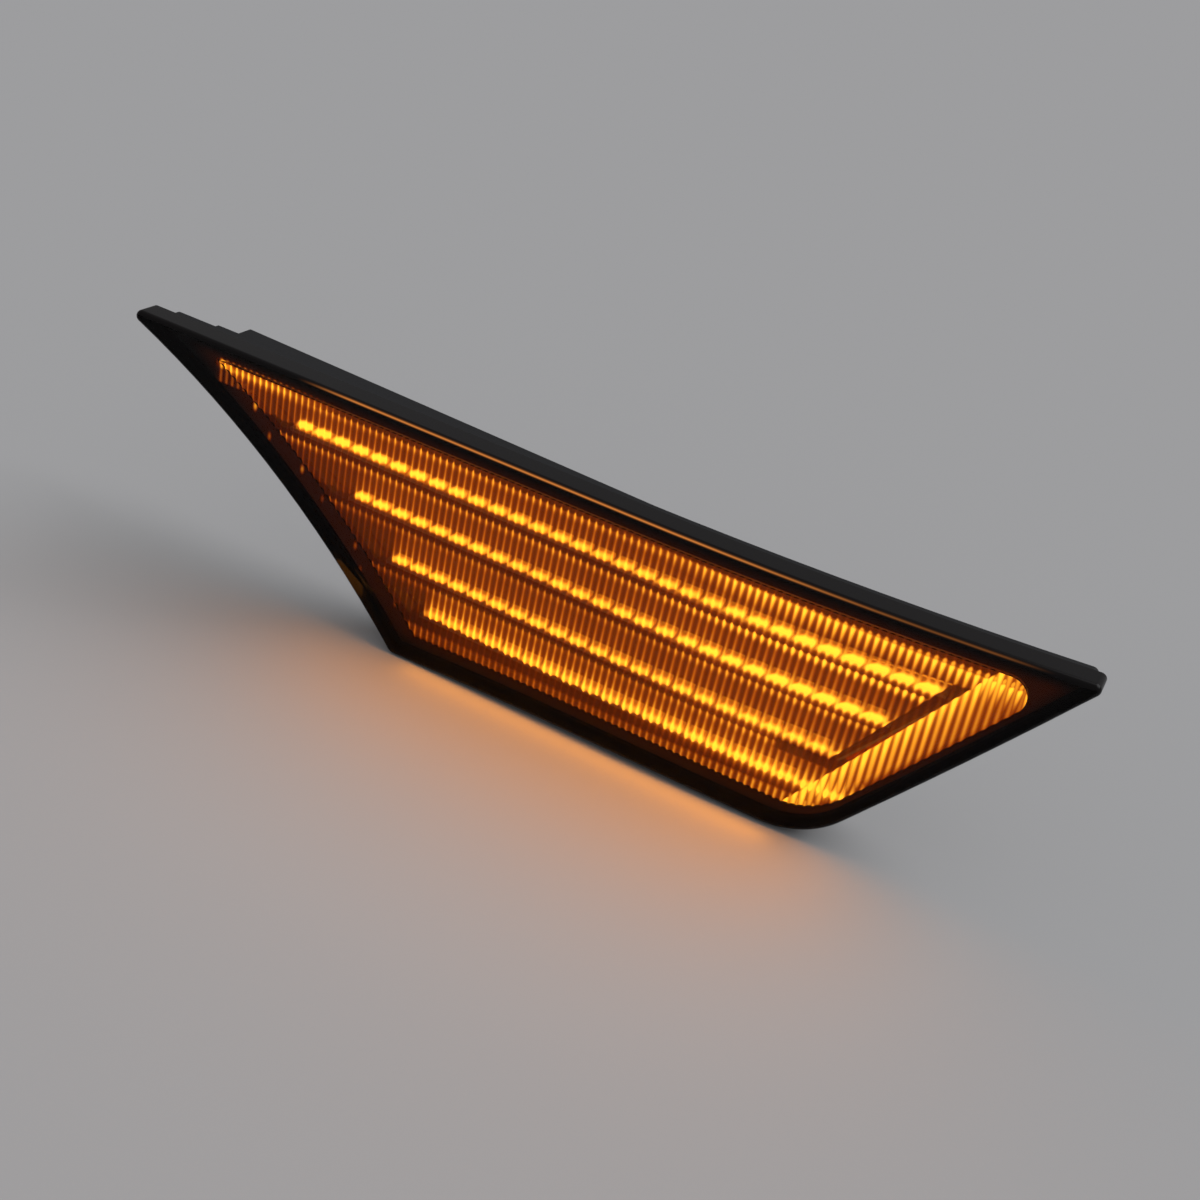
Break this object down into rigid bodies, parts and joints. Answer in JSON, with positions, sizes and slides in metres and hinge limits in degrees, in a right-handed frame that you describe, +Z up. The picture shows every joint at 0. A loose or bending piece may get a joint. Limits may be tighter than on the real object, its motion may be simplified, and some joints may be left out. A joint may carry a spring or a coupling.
{
  "type": "side repeater lamp",
  "caption": "Long tapered car side repeater lamp: smoked fluted lens over a stepped reflector with lit rows of amber LEDs, in a black snap-in housing.",
  "frame": {"origin": "on the axis of the rear wire gland, at the back face of the housing's box", "axes": "+X along the lamp towards its wide rounded end, +Z up, the lens faces -Y and the lead leaves along +Y"},
  "size_m": [0.2021, 0.0245, 0.0518],
  "materials": {
    "smoked_lens": "polished, smoke tinted",
    "housing_black": "fine moulded grain",
    "bezel_black": "satin",
    "reflector_amber": "polished, lit amber",
    "led_amber": "lit",
    "circuit_white": "solder mask",
    "circuit_green": "solder mask",
    "component_black": "moulded",
    "capacitor_can": "satin",
    "tinned_wire": "tinned",
    "brass_pin": "plain",
    "screw_steel": "zinc plated",
    "seal_rubber": "matt",
    "gland_rubber": "matt"
  },
  "bodies": {
    "root": {"outer_lens": "smoked_lens", "lens_seal": "seal_rubber", "bezel": "bezel_black", "housing": "housing_black", "reflector": "reflector_amber", "led_strip_end": "circuit_white", "leds_end": "led_amber", "driver_board": "circuit_green", "controller_chip": "component_black", "resistors": "component_black", "rectifier_diodes": "component_black", "smoothing_capacitor": "capacitor_can", "supply_pins": "brass_pin", "board_screws": "screw_steel", "bus_wires": "tinned_wire", "wire_gland": "gland_rubber", "led_strip_1": "circuit_white", "leds_row_1": "led_amber", "led_strip_2": "circuit_white", "leds_row_2": "led_amber", "led_strip_3": "circuit_white", "leds_row_3": "led_amber", "led_strip_4": "circuit_white", "leds_row_4": "led_amber"}
  },
  "joints": []
}
